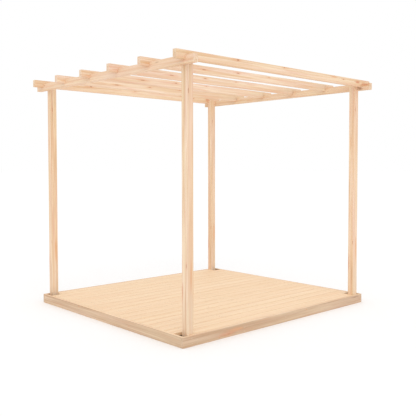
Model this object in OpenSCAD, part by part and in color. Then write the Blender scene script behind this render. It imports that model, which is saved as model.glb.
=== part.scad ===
// Garden pergola of planed softwood: four square posts standing in the corners of a low
// timber deck, a beam along the left and the right pair, and notched rafters across the beams.
// X runs along the rafters and deck boards, Y along the beams, and Z = 0 is the ground.

/* [Deck] */
// Length of the deck along its boards
deck_l = 2640; // [1800:10:4200]
// Width of the deck across its boards
deck_w = 2492; // [1700:2:4000]
// Height of the deck surface above the ground
deck_h = 96; // [80:1:180]
// Thickness of the boards on edge around the deck
frame_t = 21; // [15:1:45]
// Number of deck boards
board_count = 19; // [12:1:22]
// Thickness of the deck boards
board_t = 27; // [18:1:40]
// Gap beside each deck board
board_gap = 6; // [2:0.5:12]
// Gap between the end of a deck board and the frame
board_end_gap = 2; // [1:0.5:6]
// Width of the joists under the deck boards
joist_w = 45; // [30:1:70]
// Number of joists that run the full width of the deck
joist_count = 5; // [3:1:7]

/* [Posts] */
// Side of the square posts
post_w = 70; // [50:1:120]
// Height of the posts above the ground
post_h = 2475; // [1900:5:3000]
// Distance from the deck's left and right edges to the posts
post_inset = 66; // [50:1:160]
// Gap between a post and the deck timber cut to go round it
post_clear = 2; // [1:0.5:6]

/* [Roof] */
// Thickness of the beams
beam_t = 52; // [30:1:90]
// Height of the beams
beam_h = 73; // [60:1:180]
// Length of beam past the outer faces of the first and last rafters
beam_overhang = 98; // [20:1:400]
// Number of rafters
rafter_count = 6; // [3:1:9]
// Thickness of the rafters
rafter_t = 46; // [25:1:80]
// Height of the rafters
rafter_h = 76; // [60:1:180]
// Length of rafter past the outer faces of the beams
rafter_overhang = 98; // [20:1:400]
// Depth of the notch that lets a rafter down over a beam
lap = 38; // [10:1:50]
// Gap on each side of a beam inside a rafter's notch
lap_clear = 0.5; // [0.2:0.1:3]

/* [Hidden] */
post_x = deck_l/2 - post_inset - post_w/2; // middle of a right-hand post
post_y = deck_w/2 - frame_t - post_w/2;    // middle of a back post
post_in_x = post_x - post_w/2 - post_clear;

beam_x = post_x + post_w/2 + beam_t/2; // the beams lie on the posts' outer left and right faces
beam_z = post_h - beam_h;              // and end level with their tops
rafter_y = post_y + post_w/2 + rafter_t/2; // the end rafters lie on the posts' front and back faces
rafter_z = post_h - lap;
beam_len = 2*(rafter_y + rafter_t/2 + beam_overhang);
rafter_len = 2*(beam_x + beam_t/2 + rafter_overhang);
rafter_pitch = 2*rafter_y/(rafter_count - 1);

inner_l = deck_l - 2*frame_t;
inner_w = deck_w - 2*frame_t;
board_w = (inner_w - (board_count + 1)*board_gap)/board_count;
board_pitch = board_w + board_gap;
board_z = deck_h - board_t;
joist_x = post_in_x - joist_w/2; // the outer joists stand just inside the posts
bearer_len = inner_w - 2*(board_pitch + board_gap);

wood = "BurlyWood";
deck_wood = "NavajoWhite";
under_wood = "Tan";

function two(i) = i < 10 ? str("0", i) : str(i);
ENDS = ["front", "back"];
SIDES = ["left", "right"];

// A square-cut timber, centred in X and Y, with its underside at z.
module timber(l, w, h, z) {
    translate([-l/2, -w/2, z]) cube([l, w, h]);
}

// The posts stand on the ground, in the open corners of the deck.
module post(sx, sy) {
    color(wood) translate([sx*post_x, sy*post_y, 0]) timber(post_w, post_w, post_h, 0);
}

module beam(sx) {
    color(wood) translate([sx*beam_x, 0, 0]) timber(beam_t, beam_len, beam_h, beam_z);
}

// A rafter is notched from below, once over each beam.
module rafter(i) {
    color(wood) translate([0, -rafter_y + (i - 1)*rafter_pitch, 0])
        difference() {
            timber(rafter_len, rafter_t, rafter_h, rafter_z);
            for (sx = [-1, 1])
                translate([sx*beam_x, 0, 0])
                    timber(beam_t + 2*lap_clear, rafter_t + 2, lap + 1, rafter_z - 1);
        }
}

// The front and back frame boards run past the ends of the left and right ones.
module frame_end(sy) {
    color(wood) translate([0, sy*(deck_w - frame_t)/2, 0]) timber(deck_l, frame_t, deck_h, 0);
}

module frame_side(sx) {
    color(wood) translate([sx*(deck_l - frame_t)/2, 0, 0]) timber(frame_t, inner_w, deck_h, 0);
}

// Joists lie on the ground between the front and back frame boards.
module joist(i) {
    color(under_wood) translate([-joist_x + (i - 1)*2*joist_x/(joist_count - 1), 0, 0])
        timber(joist_w, inner_w, board_z, 0);
}

// Bearers along the left and right frame boards carry the ends of the long deck boards.
module bearer(sx) {
    color(under_wood) translate([sx*(inner_l - joist_w)/2, 0, 0])
        timber(joist_w, bearer_len, board_z, 0);
}

// The first and last deck boards stop short of the posts, which leaves the corners open.
module deck_board(i) {
    at_post = i == 1 || i == board_count;
    len = at_post ? 2*post_in_x : inner_l - 2*board_end_gap;
    color(deck_wood)
        translate([0, -inner_w/2 + board_gap + board_w/2 + (i - 1)*board_pitch, 0])
            timber(len, board_w, board_t, board_z);
}

for (e = [0, 1], s = [0, 1])
    post(2*s - 1, 2*e - 1);
for (s = [0, 1]) {
    beam(2*s - 1);
    bearer(2*s - 1);
    frame_side(2*s - 1);
    frame_end(2*s - 1);
}
for (i = [1:rafter_count])
    rafter(i);
for (i = [1:joist_count])
    joist(i);
for (i = [1:board_count])
    deck_board(i);
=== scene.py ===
import math
import random

import bmesh
import bpy
from mathutils import Euler, Matrix, Vector


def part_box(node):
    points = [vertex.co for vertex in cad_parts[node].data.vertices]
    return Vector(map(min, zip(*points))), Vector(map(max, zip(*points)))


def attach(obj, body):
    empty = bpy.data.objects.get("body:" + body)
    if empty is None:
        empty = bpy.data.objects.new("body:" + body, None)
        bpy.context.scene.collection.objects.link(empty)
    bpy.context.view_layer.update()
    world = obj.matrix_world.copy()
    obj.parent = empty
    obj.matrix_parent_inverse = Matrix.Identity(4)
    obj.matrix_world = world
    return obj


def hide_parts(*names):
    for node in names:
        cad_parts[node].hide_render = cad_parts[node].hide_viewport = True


# A garden pergola of pale softwood: a finished copy of each packed timber, screws, camera and light.

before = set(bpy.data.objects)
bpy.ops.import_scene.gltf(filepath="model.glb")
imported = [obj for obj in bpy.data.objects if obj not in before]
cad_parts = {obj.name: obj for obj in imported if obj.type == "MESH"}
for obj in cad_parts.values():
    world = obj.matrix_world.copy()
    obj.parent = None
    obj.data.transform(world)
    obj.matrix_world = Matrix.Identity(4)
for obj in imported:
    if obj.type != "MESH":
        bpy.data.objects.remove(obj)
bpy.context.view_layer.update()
print("frame loaded,", len(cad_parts), "timbers")


# Shader maths

class Wire:
    # A node's output, so that shader maths reads as ordinary sums.
    def __init__(self, graph, socket):
        self.graph, self.socket = graph, socket

    def __add__(self, other):
        return self.graph.math("ADD", self, other)

    def __radd__(self, other):
        return self.graph.math("ADD", other, self)

    def __sub__(self, other):
        return self.graph.math("SUBTRACT", self, other)

    def __rsub__(self, other):
        return self.graph.math("SUBTRACT", other, self)

    def __mul__(self, other):
        return self.graph.math("MULTIPLY", self, other)

    def __rmul__(self, other):
        return self.graph.math("MULTIPLY", other, self)

    def __truediv__(self, other):
        return self.graph.math("DIVIDE", self, other)

    def __rtruediv__(self, other):
        return self.graph.math("DIVIDE", other, self)


class Graph:
    # The nodes of one material or world.
    def __init__(self, owner):
        owner.use_nodes = True
        self.owner, self.tree = owner, owner.node_tree
        self.tree.nodes.clear()

    def node(self, kind, settings=None, inputs=None, output=0):
        # settings are set first, then each socket gets its value or its link
        made = self.tree.nodes.new(kind)
        for key, value in (settings or {}).items():
            if key == "stops":
                self.setStops(made.color_ramp, value)
            else:
                setattr(made, key, value)
        for key, value in (inputs or {}).items():
            if isinstance(value, Wire):
                self.tree.links.new(value.socket, made.inputs[key])
            else:
                made.inputs[key].default_value = value
        return Wire(self, made.outputs[output]) if made.outputs else made

    def setStops(self, ramp, stops):
        while len(ramp.elements) > 1:
            ramp.elements.remove(ramp.elements[-1])
        for i, (position, shade) in enumerate(stops):
            stop = ramp.elements[0] if i == 0 else ramp.elements.new(position)
            stop.position, stop.color = position, (shade, shade, shade, 1)

    def math(self, operation, *values):
        return self.node("ShaderNodeMath", {"operation": operation}, dict(enumerate(values)))

    def vector(self, operation, *values, output=0):
        return self.node("ShaderNodeVectorMath", {"operation": operation}, dict(enumerate(values)), output)

    def noise(self, at, stretch, detail, roughness):
        # Noise round 0, mostly -0.3 to 0.3; stretch is its waves per metre along each axis.
        return self.node("ShaderNodeTexNoise", None, {
            "Vector": self.vector("MULTIPLY", at, stretch), "Scale": 1,
            "Detail": detail, "Roughness": roughness}, "Fac") - 0.5

    def between(self, value, start, end):
        # 0 at start and 1 at end, smooth in between; start may be the larger one.
        return self.node("ShaderNodeMapRange", {"interpolation_type": "SMOOTHSTEP"}, {
            "Value": value, "From Min": start, "From Max": end, "To Min": 0, "To Max": 1})

    def clamped(self, value):
        return self.node("ShaderNodeClamp", None, {"Value": value, "Min": 0, "Max": 1})

    def tint(self, mask, colour, other, blend="MIX"):
        # colour where the mask is 0, other where it is 1
        colours = [c if isinstance(c, Wire) else (*c, 1) for c in (colour, other)]
        return self.node("ShaderNodeMix", {"data_type": "RGBA", "blend_type": blend}, {
            0: mask, 6: colours[0], 7: colours[1]}, 2)

    def bump(self, height, depth):
        # height runs from 0 to 1 over depth metres
        return self.node("ShaderNodeBump", None, {"Height": height, "Distance": depth, "Strength": 1})

    def finish(self, inputs):
        shader = self.node("ShaderNodeBsdfPrincipled", None, inputs)
        self.node("ShaderNodeOutputMaterial", None, {"Surface": shader})
        return self.owner


# Meshes, objects and faces

def meshFrom(work, name):
    mesh = bpy.data.meshes.new(name)
    work.to_mesh(mesh)
    work.free()
    return mesh


def addToScene(name, data):
    thing = bpy.data.objects.new(name, data)
    bpy.context.scene.collection.objects.link(thing)
    return thing


xAxis, yAxis, zAxis = 0, 1, 2
faces = {
    "left": (xAxis, 0), "right": (xAxis, 1), "front": (yAxis, 0),
    "back": (yAxis, 1), "under": (zAxis, 0), "top": (zAxis, 1),
}


def kindOf(node):
    return node.split("_")[0]


def longAxis(node):
    low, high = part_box(node)
    return max(range(3), key=lambda i: high[i] - low[i])


# Softwood: every timber is cut out of a log, whose heart runs along it somewhere near or inside.
# In log space X is the grain, and the distance from the X axis counts the year rings.

grainToX = [Euler((0, 0, 0)), Euler((0, 0, math.radians(-90))), Euler((0, math.radians(90), 0))]

# waves per metre along and across the grain, detail and roughness of each noise
patterns = {
    "waver": ((1.1, 6, 6), 2, 0.5),        # slow bends of the heart
    "wobble": ((7, 40, 40), 1, 0.5),       # and quicker ones
    "ringDrift": ((0.4, 18, 18), 1, 0.5),  # wide and narrow years
    "bands": ((0.5, 28, 28), 2, 0.5),      # long bands from pale to warm
    "fineBands": ((1.6, 75, 75), 2, 0.6),
    "blush": ((2.6, 52, 52), 2, 0.5),      # short reddish stretches
    "honey": ((1.3, 48, 48), 2, 0.5),      # stretches that are more yellow or more pink
    "fibres": ((9, 900, 900), 2, 0.7),
    "strands": ((6, 170, 170), 2, 0.6),    # ragged outlines of streaks
    "stain": ((2.5, 330, 330), 3, 0.65),   # streaks that soak in unevenly
    "speckle": ((500, 700, 700), 2, 0.5),  # torn fibres of a sawn end
    "knotEdge": ((90, 90, 90), 2, 0.5),    # ragged outlines of knots
    "knotCracks": ((420, 420, 420), 3, 0.65),
}
growth = {
    "logReach": 40,  # how far from the middle of its log a timber may start, either way
    "wobble": 0.12, "ringDrift": 1.6, "heartEdge": (0.012, -0.004),
    "blushEdge": (0.02, 0.2),
    "honeyGreen": 0.3,  # honey takes blue away, and adds this share of it to green
    "ringShade": [(0, 0.1), (0.08, 0), (0.5, 0.15), (0.88, 1), (0.95, 0.9), (1, 0.1)],
}
# each edge gives where a mask is 0 and where it is 1, in radii of the knot or streak
knotWood = {
    "core": (0.45, 0.185, 0.09), "coreStrength": 0.78, "coreEdge": (1.05, 0.8),
    "bark": (0.24, 0.085, 0.045), "barkStrength": 0.7, "barkEdge": (0.6, 0.95),
    "halo": (0.78, 0.42, 0.25), "haloStrength": 0.6, "haloEdge": (2.6, 0.9),
    "rings": 24, "ringStrength": 0.12, "ringBend": 5, "cracks": 0.5,
    "ragged": 0.5, "bulge": 0.007, "bulgeReach": 3.2,
}
streakWood = {"ragged": 1.7, "edge": (1.35, 0.35), "soaked": 0.8, "patchy": 2.6}
streakColours = {
    "resin": (0.74, 0.38, 0.19), "dark": (0.42, 0.25, 0.16), "pink": (0.80, 0.50, 0.36),
    "red": (0.66, 0.27, 0.14), "band": (0.72, 0.49, 0.34), "umber": (0.66, 0.41, 0.25),
    "sap": (0.76, 0.65, 0.48),
}
# nearFrom and nearTo are distances from a timber's middle, as fractions of its length
endWood = {"darker": 0.04, "paler": 0.22, "nearFrom": 0.15, "nearTo": 0.5, "balance": 0.4}
# what each part of the grain adds to the roughness and to the relief
roughParts = {"summer": -0.06, "fibres": 0.2, "ends": 0.12, "knots": -0.12}
reliefParts = {"summer": -0.35, "fibres": 0.9, "fineBands": 0.4, "ends": 2}


def markPlace(node, face, along, across):
    # The point on a face at these fractions along and across it, and the axes along, across and in.
    low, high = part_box(node)
    inAxis, side = faces[face]
    first = longAxis(node)
    second = 3 - first - inAxis
    place = Vector(low)
    place[first] += along * (high - low)[first]
    place[second] += across * (high - low)[second]
    place[inAxis] = (low, high)[side][inAxis]
    return place, first, second, inAxis


def markDistance(graph, here, node, mark):
    # 0 in the middle of a mark and 1 at its edge
    place, first, second, inAxis = markPlace(node, mark["face"], mark["along"], mark["across"])
    reach = [0, 0, 0]  # half its length and width, and all its depth, from millimetres to metres
    reach[first] = mark["long"] / 2000
    reach[second] = mark["wide"] / 2000
    reach[inAxis] = mark["deep"] / 1000
    away = graph.vector("SUBTRACT", here, place)
    scaled = graph.vector("MULTIPLY", away, [1 / r for r in reach])
    return graph.vector("LENGTH", scaled, output="Value")


def logSpace(graph, here, node, look, chance):
    # the log's own coordinates; chance says where in the log the timber was cut, and how straight
    low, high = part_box(node)
    centre = (low + high) / 2
    turn = grainToX[longAxis(node)].to_matrix()
    tilt = Euler([math.radians(chance.uniform(-1, 1) * look["tilt"]) for _ in range(3)]).to_matrix()
    side = chance.choice((-1, 1))
    heart = Vector((chance.uniform(-growth["logReach"], growth["logReach"]),
                    side * chance.uniform(*look["heartSide"]),
                    chance.choice((-1, 1)) * chance.uniform(*look["heartDeep"])))
    place = tilt @ turn
    return graph.node("ShaderNodeMapping", None, {
        "Vector": here, "Rotation": place.to_euler(), "Location": heart - place @ centre})


def pattern(graph, at, name):
    return graph.noise(at, *patterns[name])


def heartDistance(graph, log, look, knots):
    # how far each point is from the log's heart, which wavers and bends round the knots
    waver = pattern(graph, log, "waver") * look["waver"]
    wobble = pattern(graph, log, "wobble") * look["waver"] * growth["wobble"]
    acrossGrain = graph.vector("MULTIPLY", log, (0, 1, 1))
    radius = graph.vector("LENGTH", acrossGrain, output="Value") + waver + wobble
    for distance, _ in knots:
        radius = radius + graph.between(distance, knotWood["bulgeReach"], 0) * knotWood["bulge"]
    return radius


def yearRings(graph, log, look, radius):
    # pale spring wood that darkens to a thin summer line
    rings = radius / look["ringPitch"] + pattern(graph, log, "ringDrift") * growth["ringDrift"]
    phase = graph.math("FRACT", rings)
    return graph.node("ShaderNodeValToRGB", {"stops": growth["ringShade"]}, {0: phase})


def woodWarmth(graph, here, log, node, look, endCut, fineBands):
    # 0 is pale and 1 is warm; a timber is a little warmer near its ends, but pale on their sawn faces
    low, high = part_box(node)
    grainAxis = longAxis(node)
    length, middle = (high - low)[grainAxis], (low + high)[grainAxis] / 2
    slide = graph.node("ShaderNodeSeparateXYZ", None, {0: here}, grainAxis) - middle
    nearEnd = graph.between(
        graph.math("ABSOLUTE", slide), length * endWood["nearFrom"], length * endWood["nearTo"])
    warmth = 0.5 + pattern(graph, log, "bands") * look["bands"] + fineBands * look["fineBands"]
    warmth = warmth + (nearEnd - endWood["balance"]) * look["ends"] - endCut * endWood["paler"]
    return graph.clamped(warmth)


def freshEdge(graph, here, node, look, warmth, colour):
    # painted light: the upper edge of a board on edge is made paler, as if lit from above like the deck top
    upper = graph.node("ShaderNodeSeparateXYZ", None, {0: here}, zAxis)
    litBand = graph.between(upper, *[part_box(node)[1].z - depth for depth in look["edgeDepths"]])
    return graph.tint(litBand, colour, graph.tint(warmth, *look["edge"]))


def withStreaks(graph, log, colour, streaks):
    strands = pattern(graph, log, "strands") * streakWood["ragged"]
    stain = streakWood["soaked"] + pattern(graph, log, "stain") * streakWood["patchy"]
    for distance, mark in streaks:
        mask = graph.between(distance + strands, *streakWood["edge"]) * mark["strength"] * stain
        colour = graph.tint(mask, colour, streakColours[mark["colour"]])
    return colour


def withKnots(graph, here, colour, knots):
    # returns the colour, and where the knots are
    ragged = pattern(graph, here, "knotEdge") * knotWood["ragged"]
    cracks = pattern(graph, here, "knotCracks")
    knotted = 0
    for distance, mark in knots:
        away = distance + ragged
        halo = graph.between(away, *knotWood["haloEdge"]) * knotWood["haloStrength"] * mark["strength"]
        core = graph.between(away, *knotWood["coreEdge"]) * mark["strength"]
        bark = core * graph.between(away, *knotWood["barkEdge"])
        rings = graph.math("SINE", away * knotWood["rings"] + cracks * knotWood["ringBend"])
        depth = knotWood["coreStrength"] + rings * knotWood["ringStrength"] + cracks * knotWood["cracks"]
        colour = graph.tint(halo, colour, knotWood["halo"])
        colour = graph.tint(core * depth, colour, knotWood["core"])
        colour = graph.tint(bark * knotWood["barkStrength"], colour, knotWood["bark"])
        knotted = core + knotted
    return colour, knotted


def softwood(node, look, timberMarks):
    graph = Graph(bpy.data.materials.new("softwood_" + node))
    chance = random.Random(node + str(look["seed"]))
    here = graph.node("ShaderNodeTexCoord", output="Object")
    log = logSpace(graph, here, node, look, chance)
    distances = [(markDistance(graph, here, node, mark), mark) for mark in timberMarks]
    knots = [(distance, mark) for distance, mark in distances if mark["kind"] == "knot"]
    streaks = [(distance, mark) for distance, mark in distances if mark["kind"] == "streak"]

    radius = heartDistance(graph, log, look, knots)
    summer = yearRings(graph, log, look, radius)
    heartWood = graph.between(radius, *[look["heartSize"] + edge for edge in growth["heartEdge"]])
    fineBands, fibres = pattern(graph, log, "fineBands"), pattern(graph, log, "fibres")
    blush = graph.between(pattern(graph, log, "blush"), *growth["blushEdge"])
    endCut = graph.node("ShaderNodeAttribute", {"attribute_name": "endCut"}, None, "Fac")
    warmth = woodWarmth(graph, here, log, node, look, endCut, fineBands)

    colour = graph.tint(warmth, look["pale"], look["warm"])
    # painted light: a paler top edge on the frame boards
    if "edge" in look:
        colour = freshEdge(graph, here, node, look, warmth, colour)
    colour = graph.tint(blush * look["blush"], colour, look["blushColour"])
    colour = graph.tint(summer * look["rings"], colour, look["summer"])
    colour = graph.tint(heartWood * look["heart"], colour, look["heartColour"])
    colour = withStreaks(graph, log, colour, streaks)
    colour, knotted = withKnots(graph, here, colour, knots)

    speckle = pattern(graph, log, "speckle")
    honey = pattern(graph, log, "honey") * look["honey"]
    tone = 1 + shades.get(node, 0) + chance.uniform(-1, 1) * look["toneSpread"] + fibres * look["fibres"]
    tone = tone - endCut * endWood["darker"] * (1 - speckle)
    shade = graph.node("ShaderNodeCombineColor", None, {
        0: tone, 1: tone + honey * growth["honeyGreen"], 2: tone - honey})
    colour = graph.tint(1.0, colour, shade, "MULTIPLY")

    rough = (look["roughness"] + summer * roughParts["summer"] + fibres * roughParts["fibres"]
             + endCut * roughParts["ends"] + knotted * roughParts["knots"])
    relief = (summer * reliefParts["summer"] + fibres * reliefParts["fibres"]
              + fineBands * reliefParts["fineBands"] + endCut * speckle * reliefParts["ends"])
    return graph.finish({
        "Base Color": colour, "Roughness": rough, "Normal": graph.bump(relief, look["relief"]),
        "Specular IOR Level": look["shine"]})


# Looks: sizes in metres, angles in degrees. heartSide and heartDeep give how far off the log's
# heart lies from the middle of the timber, across and up.

postLook = {
    "seed": 4, "tilt": 0.35, "heartSide": (0.008, 0.03), "heartDeep": (0.005, 0.03),
    "heartSize": 0.03, "heart": 0.25, "heartColour": (0.80, 0.50, 0.32),
    "pale": (0.925, 0.74, 0.55), "warm": (0.735, 0.50, 0.305), "summer": (0.70, 0.42, 0.245),
    "blush": 0.45, "blushColour": (0.80, 0.47, 0.32),
    "ringPitch": 0.0042, "rings": 0.3, "waver": 0.012, "bands": 1.8, "fineBands": 2.5, "honey": 0.3,
    "fibres": 0.06, "toneSpread": 0.015, "roughness": 0.62, "shine": 0.35, "relief": 0.0005, "ends": 0.15,
}
roofLook = {
    **postLook, "seed": 7, "heartSide": (0.01, 0.05), "heartDeep": (0.03, 0.07), "heartSize": 0.045,
    "pale": (0.935, 0.765, 0.592), "warm": (0.745, 0.485, 0.297), "blush": 0.6,
    "bands": 1.2, "fineBands": 2.1, "honey": 0.24, "ends": 0.22,
}
paleRoofLook = {**roofLook, "pale": (0.95, 0.785, 0.618)}
goldenRoofLook = {
    **roofLook, "pale": (0.93, 0.755, 0.562), "warm": (0.74, 0.478, 0.272), "blush": 0.5,
}
# the frame boards' colours are darker than the other timbers': painted shade for their sides, which stand
# low by the ground where less light reaches them
frameLook = {
    **postLook, "seed": 2, "heartSide": (0.0, 0.03), "heartDeep": (0.04, 0.08),
    "pale": (0.775, 0.60, 0.435), "warm": (0.49, 0.305, 0.175), "summer": (0.49, 0.28, 0.155),
    "heartColour": (0.62, 0.37, 0.22), "blush": 0.35, "blushColour": (0.62, 0.33, 0.20),
    # edge: painted light, the paler colours of the boards' top edges; edgeDepths: how far down it reaches
    "edge": ((0.96, 0.74, 0.51), (0.85, 0.60, 0.39)), "edgeDepths": (0.0016, 0.0004),
    "bands": 1.9, "fineBands": 1.5, "honey": 0.14, "ends": 0,
}
boardLook = {
    **postLook, "seed": 5, "heartSide": (0.0, 0.04), "heartDeep": (0.05, 0.11),
    "pale": (0.965, 0.75, 0.515), "warm": (0.89, 0.625, 0.395), "summer": (0.86, 0.58, 0.36),
    "rings": 0.3, "heart": 0.12, "heartColour": (0.88, 0.62, 0.39), "toneSpread": 0.006,
    "blush": 0.15, "blushColour": (0.88, 0.58, 0.37), "fineBands": 1.8, "honey": 0.1,
}
joistLook = {
    **postLook, "seed": 9, "heartSide": (0.0, 0.03), "heartDeep": (0.02, 0.07),
    "pale": (0.70, 0.50, 0.33), "warm": (0.60, 0.39, 0.24), "summer": (0.50, 0.29, 0.16),
    "fibres": 0.2, "relief": 0.0012, "roughness": 0.75,
    "blush": 0.2, "blushColour": (0.58, 0.33, 0.2),
}
# a look for every kind of timber, and for single timbers that differ from it
looks = {
    "post": postLook, "beam": roofLook, "rafter": paleRoofLook, "frame": frameLook,
    "deck": boardLook, "joist": joistLook, "bearer": joistLook,
    "rafter_1": goldenRoofLook, "rafter_6": goldenRoofLook, "beam_right": goldenRoofLook,
}

# Marks that stand out. along runs from the timber's left, front or lower end, across from the
# face's left or lower edge, both as fractions; long, wide and deep are in millimetres.


def knot(face, along, across, long, wide, strength=1):
    return {"kind": "knot", "face": face, "along": along, "across": across,
            "long": long, "wide": wide, "deep": 35, "strength": strength}


def streak(face, along, across, long, wide, colour="resin", strength=0.6):
    return {"kind": "streak", "face": face, "along": along, "across": across,
            "long": long, "wide": wide, "deep": 12, "colour": colour, "strength": strength}


endRafterMarks = [
    knot("front", 0.254, 0.85, 26, 13),
    streak("front", 0.248, 0.83, 150, 24, "resin", 0.7),
    knot("front", 0.479, 0.88, 18, 8, 0.8),
    streak("front", 0.485, 0.86, 140, 18),
    streak("front", 0.762, 0.80, 110, 20, "resin", 1),
    knot("front", 0.824, 0.66, 24, 9, 0.7),
    streak("front", 0.824, 0.66, 80, 14),
    streak("front", 0.917, 0.62, 80, 36, "red", 0.85),
]
rafterMarks = [
    # painted shade: a dark line on each stub's front face beside the left beam, for the shade at the
    # crossing
    streak("front", 0.026, 0.31, 95, 14, "resin", 0.8),
    streak("front", 0.075, 0.5, 150, 12, "resin", 0.3),
    knot("front", 0.266, 0.53, 50, 10, 0.7),
    streak("front", 0.266, 0.53, 200, 22, "resin", 0.6),
    knot("front", 0.43, 0.70, 34, 9, 0.7),
    streak("front", 0.43, 0.70, 130, 20, "resin", 0.5),
    knot("front", 0.594, 0.78, 18, 7, 0.5),
    streak("front", 0.594, 0.76, 90, 16, "resin", 0.4),
    # painted shade: a dark smudge where the rafter crosses the right beam, for the shade in that crease
    streak("front", 0.944, 0.4, 24, 60, "dark", 0.45),
    streak("front", 0.93, 0.5, 420, 110, "sap", 0.4),
]
postMarks = [
    streak("front", 0.06, 0.5, 700, 110, "sap", 0.45),
    streak("front", 0.5, 0.27, 2700, 26, "band", 0.4),
    streak("front", 0.245, 0.64, 280, 22, "resin", 0.9),
    knot("front", 0.883, 0.27, 46, 7, 0.9),
    streak("front", 0.88, 0.27, 220, 12, "dark", 0.3),
    streak("left", 0.735, 0.68, 200, 14, "resin", 0.8),
    streak("left", 0.184, 0.92, 200, 18, "red", 0.7),
    knot("left", 0.28, 0.16, 40, 7, 0.7),
    streak("left", 0.13, 0.3, 330, 22, "umber", 0.75),
]
marks = {
    **{f"rafter_{i}": rafterMarks for i in range(2, 6)},
    **{f"rafter_{i}": endRafterMarks for i in (1, 6)},
    **{f"post_{end}_{side}": postMarks for end in ("front", "back") for side in ("left", "right")},
    "beam_left": [
        streak("left", 0.179, 0.75, 60, 10, "dark", 0.6),
        streak("left", 0.714, 0.42, 120, 30, "pink", 0.5),
    ],
    "beam_right": [
        streak("left", 0.676, 0.36, 120, 18, "resin", 0.6),
        streak("left", 0.019, 0.78, 115, 26, "red", 1),
        streak("left", 0.003, 0.85, 22, 34, "resin", 0.8),
        streak("left", 0.041, 0.2, 52, 24, "dark", 0.75),
    ],
    "frame_left": [streak("left", 0.1, 0.5, 800, 140, "sap", 0.25)],
    "frame_front": [
        knot("front", 0.205, 0.3, 40, 14, 0.4),
        streak("front", 0.2, 0.36, 210, 50, "red", 0.5),
        streak("front", 0.243, 0.56, 190, 34, "resin", 0.65),
        streak("front", 0.86, 0.5, 1000, 120, "dark", 0.14),
        streak("front", 0.955, 0.8, 150, 18, "dark", 0.9),
    ],
}
# timbers that are a little darker or paler than their kind; on frame_left and frame_front this is painted
# light and shade, set for how brightly their faces are lit
shades = {"beam_right": -0.035, "frame_left": 0.055, "frame_front": -0.015}

# small knots on the faces that the lists above leave free: how many, and between which values
strayKnots = {
    "post": 5, "beam": 5, "rafter": 3, "frame": 4, "deck": 1, "joist": 3, "bearer": 1,
    "along": (0.04, 0.96), "across": (0.15, 0.85), "long": (10, 22), "wide": (7, 12), "strength": (0.4, 0.9),
}


def strayMarks(node):
    chance = random.Random("stray" + node)
    taken = {mark["face"] for mark in marks.get(node, [])}
    free = [face for face, (axis, _) in faces.items() if axis != longAxis(node) and face not in taken]
    if kindOf(node) == "deck":
        free = ["top", "under"]
    sizes = ("along", "across", "long", "wide", "strength")
    return [knot(chance.choice(free), *[chance.uniform(*strayKnots[size]) for size in sizes])
            for _ in range(strayKnots[kindOf(node)])]


# Timbers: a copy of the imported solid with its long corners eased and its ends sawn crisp

# radius of the long corners of each kind, steps round them, and the cut round a sawn end
easing = {
    "post": 0.001, "beam": 0.001, "rafter": 0.001, "frame": 0.0012, "deck": 0.0008,
    "joist": 0.0006, "bearer": 0.0006, "steps": 2, "end": 0.0006,
}
# what tells long corners and sawn ends from the rest: metres, radians and cosines
limits = {
    "merge": 0.00001, "flat": math.radians(1), "corner": 1, "along": 0.999,
    "endDepth": 0.001, "endFacing": 0.9, "sawnFacing": 0.6,
}


def easeEdges(work, edges, offset, steps):
    bmesh.ops.bevel(work, geom=edges, affect="EDGES", offset=offset, segments=steps, profile=0.5,
                    material=-1, clamp_overlap=True)
    work.normal_update()


def easedTimber(node):
    along = longAxis(node)
    low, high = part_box(node)
    work = bmesh.new()
    work.from_mesh(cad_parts[node].data)
    bmesh.ops.remove_doubles(work, verts=work.verts, dist=limits["merge"])
    bmesh.ops.dissolve_limit(work, angle_limit=limits["flat"], verts=work.verts, edges=work.edges)

    def longCorner(edge):
        way = edge.verts[1].co - edge.verts[0].co
        runsAlong = abs(way[along]) > limits["along"] * way.length
        return runsAlong and edge.calc_face_angle_signed() > limits["corner"]

    def atEnd(face):
        middle = face.calc_center_median()[along]
        fromEnd = min(middle - low[along], high[along] - middle)
        return abs(face.normal[along]) > limits["endFacing"] and fromEnd < limits["endDepth"]

    easeEdges(work, [e for e in work.edges if longCorner(e)], easing[kindOf(node)], easing["steps"])
    rims = [e for e in work.edges if any(atEnd(face) for face in e.link_faces)]
    easeEdges(work, rims, easing["end"], 1)
    endCut = work.faces.layers.float.new("endCut")
    for face in work.faces:
        face[endCut] = 1.0 if abs(face.normal[along]) > limits["sawnFacing"] else 0.0
    return meshFrom(work, node + "_timber")


for node in sorted(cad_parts):
    kind = kindOf(node)
    mesh = easedTimber(node)
    look = looks.get(node, looks[kind])
    mesh.materials.append(softwood(node, look, marks.get(node, []) + strayMarks(node)))
    timber = addToScene(node + "_timber", mesh)
    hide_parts(node)
    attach(timber, "root")
print("timbers made")

# Screws: zinc-plated, with low raised heads and a round drive hole, whose inside is painted dark: painted
# shade in the recess

screwHead = {
    "radius": 0.0042, "rise": 0.0005, "sunk": 0.0015, "sides": 12,
    "rim": 0.0005, "rimDrop": 0.7, "drive": 0.0018, "driveDeep": 0.001, "driveTaper": 0.0002,
    "colour": (0.77, 0.67, 0.48), "worn": 0.86, "driveShadeColour": (0.14, 0.11, 0.08),
    "roughness": 0.34, "mottle": ((900, 900, 900), 2, 0.5), "mottleRough": 0.3,
}
# each screw's distance from the middle of the joint, as a fraction of its width
screwSpread = {"deck": 0.3, "frame": 0.25, "roof": 0.25}
touching = 0.0006  # the widest gap at which two timbers count as touching


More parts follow.
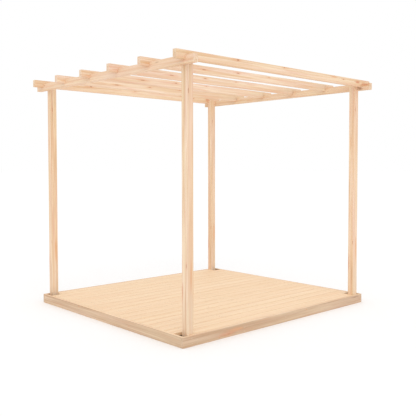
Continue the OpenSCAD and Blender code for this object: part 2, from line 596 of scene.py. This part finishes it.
def screwMetal():
    graph = Graph(bpy.data.materials.new("zinc_screw"))
    here = graph.node("ShaderNodeTexCoord", output="Object")
    mottle = graph.noise(here, *screwHead["mottle"])
    drive = graph.node("ShaderNodeAttribute", {"attribute_name": "drive"}, None, "Fac")
    wornColour = [c * screwHead["worn"] for c in screwHead["colour"]]
    metal = graph.tint(0.5 + mottle, screwHead["colour"], wornColour)
    # the drive hole is painted dark and not metal: painted shade in the recess
    return graph.finish({
        "Base Color": graph.tint(drive, metal, screwHead["driveShadeColour"]), "Metallic": 1 - drive,
        "Roughness": screwHead["roughness"] + mottle * screwHead["mottleRough"]})


def oneScrew():
    # one head that looks up +Z, with the timber's surface at Z = 0
    work = bmesh.new()
    tall = screwHead["rise"] + screwHead["sunk"]
    bmesh.ops.create_cone(
        work, cap_ends=True, segments=screwHead["sides"], depth=tall,
        radius1=screwHead["radius"], radius2=screwHead["radius"])
    bmesh.ops.translate(work, verts=work.verts, vec=(0, 0, screwHead["rise"] - tall / 2))
    drive = work.faces.layers.float.new("drive")
    face = max(work.faces, key=lambda f: f.calc_center_median().z)

    def inset(thickness, depth):
        return bmesh.ops.inset_region(work, faces=[face], thickness=thickness, depth=depth)["faces"]

    inset(screwHead["rim"], 0)
    rim = [v for v in work.verts if v.co.z > 0 and v not in face.verts]
    bmesh.ops.translate(work, verts=rim, vec=(0, 0, -screwHead["rise"] * screwHead["rimDrop"]))
    inset(screwHead["radius"] - screwHead["rim"] - screwHead["drive"], 0)
    walls = inset(screwHead["driveTaper"], -screwHead["driveDeep"])
    for part in [face, *walls]:
        part[drive] = 1.0
    return meshFrom(work, "one_screw")


def outward(face):
    axis, side = faces[face]
    way = Vector((0, 0, 0))
    way[axis] = 2 * side - 1
    return way


def touches(node, other):
    low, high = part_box(node)
    lowOther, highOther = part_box(other)
    return all(low[i] < highOther[i] + touching and lowOther[i] < high[i] + touching for i in range(3))


def twoScrews(node, other, face, spread):
    # two places on a timber's face, over the middle of its overlap with another timber
    low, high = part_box(node)
    lowOther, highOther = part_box(other)
    axis, side = faces[face]
    along = longAxis(node)
    third = 3 - axis - along
    places = []
    for fraction in (0.5 - spread, 0.5 + spread):
        point = Vector((0, 0, 0))
        point[axis] = (low, high)[side][axis]
        point[along] = (max(low[along], lowOther[along]) + min(high[along], highOther[along])) / 2
        start, end = max(low[third], lowOther[third]), min(high[third], highOther[third])
        point[third] = start + fraction * (end - start)
        places.append((point, outward(face)))
    return places


def screwsAt(name, joints, spread, head, zinc):
    # joints: (timber that the screws go through, timber behind it, face that they go into)
    places = [place for node, other, face in joints if touches(node, other)
              for place in twoScrews(node, other, face, spread)]
    work = bmesh.new()
    for point, way in places:
        start = len(work.verts)
        work.from_mesh(head)
        work.verts.ensure_lookup_table()
        turn = way.to_track_quat("Z", "Y").to_matrix().to_4x4()
        bmesh.ops.transform(work, matrix=Matrix.Translation(point) @ turn, verts=work.verts[start:])
    mesh = meshFrom(work, name)
    mesh.materials.append(zinc)
    screws = addToScene(name, mesh)
    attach(screws, "root")
    print(name, len(places))


def timbers(start):
    return [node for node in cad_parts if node.startswith(start)]


head = oneScrew()
zinc = screwMetal()
boardJoints = [(board, under, "top") for board in sorted(timbers("deck"))
               for under in timbers("joist") + timbers("bearer")]
frameJoints = [("frame_" + side, behind, side) for side in ("front", "back")
               for behind in timbers("post") + timbers("joist")]
roofJoints = [("beam_" + side, post, side) for side in ("left", "right") for post in timbers("post")]
screwsAt("deck_screws", boardJoints, screwSpread["deck"], head, zinc)
screwsAt("frame_screws", frameJoints, screwSpread["frame"], head, zinc)
screwsAt("roof_screws", roofJoints, screwSpread["roof"], head, zinc)

# Camera, floor and light, in metres and degrees

view = {
    "place": (-4.585, -5.205, 1.531), "heading": 46.457, "pitch": -2.19,
    "lens": 52.88, "sensor": 36, "shift": (-0.0423, -0.0399), "reach": 1000,
}
camera = addToScene("camera", bpy.data.cameras.new("camera"))
camera.location = view["place"]
camera.rotation_euler = (math.radians(90 + view["pitch"]), 0, math.radians(view["heading"] - 90))
camera.data.lens = view["lens"]
camera.data.sensor_width = view["sensor"]
camera.data.shift_x, camera.data.shift_y = view["shift"]
camera.data.clip_end = view["reach"]
bpy.context.scene.camera = camera

studio = {
    "sky": 0.90, "floor": (0.985, 0.985, 0.985, 1), "floorRough": 0.9, "floorSize": 400,
    "floorDrop": 0.0005,
    "lamp": (-5, -7, 8), "lampAim": (0, 0, 1), "lampAngle": 60, "lampPower": 0.72,
}
work = bmesh.new()
bmesh.ops.create_grid(work, x_segments=1, y_segments=1, size=studio["floorSize"] / 2)
bmesh.ops.translate(work, verts=work.verts, vec=(0, 0, -studio["floorDrop"]))
floor = addToScene("studio_floor", meshFrom(work, "studio_floor"))
floor.data.materials.append(Graph(bpy.data.materials.new("studio_floor")).finish({
    "Base Color": studio["floor"], "Roughness": studio["floorRough"], "Specular IOR Level": 0}))

# the sky lights the timber at one strength, and is white to the camera and in reflections
world = bpy.data.worlds.new("studio")
bpy.context.scene.world = world
sky = Graph(world)
seen = sky.math("MAXIMUM", sky.node("ShaderNodeLightPath", output="Is Camera Ray"),
                sky.node("ShaderNodeLightPath", output="Is Glossy Ray"))
strength = sky.node("ShaderNodeMapRange", None, {"Value": seen, "To Min": studio["sky"], "To Max": 1})
glow = sky.node("ShaderNodeBackground", None, {"Color": (1, 1, 1, 1), "Strength": strength})
sky.node("ShaderNodeOutputWorld", None, {"Surface": glow})

lamp = addToScene("soft_lamp", bpy.data.lights.new("soft_lamp", "SUN"))
lamp.location = studio["lamp"]
lamp.rotation_euler = (Vector(studio["lampAim"]) - lamp.location).to_track_quat("-Z", "Y").to_euler()
lamp.data.angle, lamp.data.energy = math.radians(studio["lampAngle"]), studio["lampPower"]

bpy.context.scene.view_settings.view_transform = "Standard"
print("studio ready")

bpy.context.view_layer.update()
